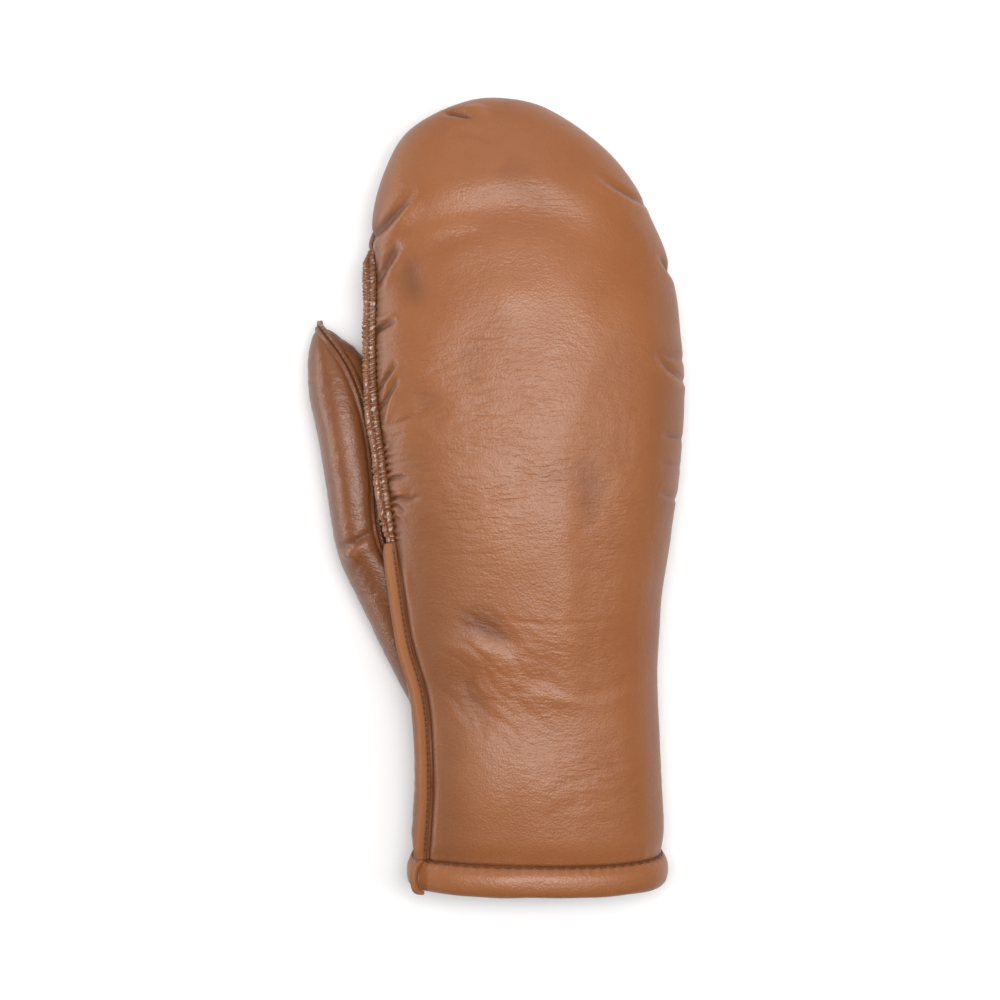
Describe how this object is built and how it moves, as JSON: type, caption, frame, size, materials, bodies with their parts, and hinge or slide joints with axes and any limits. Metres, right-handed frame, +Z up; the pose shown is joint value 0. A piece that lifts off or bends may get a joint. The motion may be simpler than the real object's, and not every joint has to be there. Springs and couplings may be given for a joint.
{
  "type": "leather mitten",
  "caption": "Padded leather mitten for a right hand, lying on its palm, with a pointed thumb, a gathered index seam and a stitched hem round an open cuff.",
  "frame": {"origin": "on the flat of the palm, in the plane that the mitten rests on, under the middle of the hand", "axes": "+Y from the cuff to the fingertip, +Z up through the back of the hand, the thumb on the -X side"},
  "size_m": [0.1283, 0.2688, 0.0588],
  "materials": {
    "back_leather": "satin, fine grain",
    "palm_leather": "satin, fine grain",
    "welt_leather": "satin"
  },
  "bodies": {
    "root": {"back_panel": "back_leather", "palm_panel": "palm_leather", "thumb_outer_panel": "palm_leather", "thumb_inner_panel": "palm_leather", "cuff_hem": "back_leather", "side_welt": "welt_leather", "gathered_welt": "welt_leather", "edge_welt": "welt_leather", "thumb_welt": "welt_leather", "hem_welt": "welt_leather"}
  },
  "joints": []
}
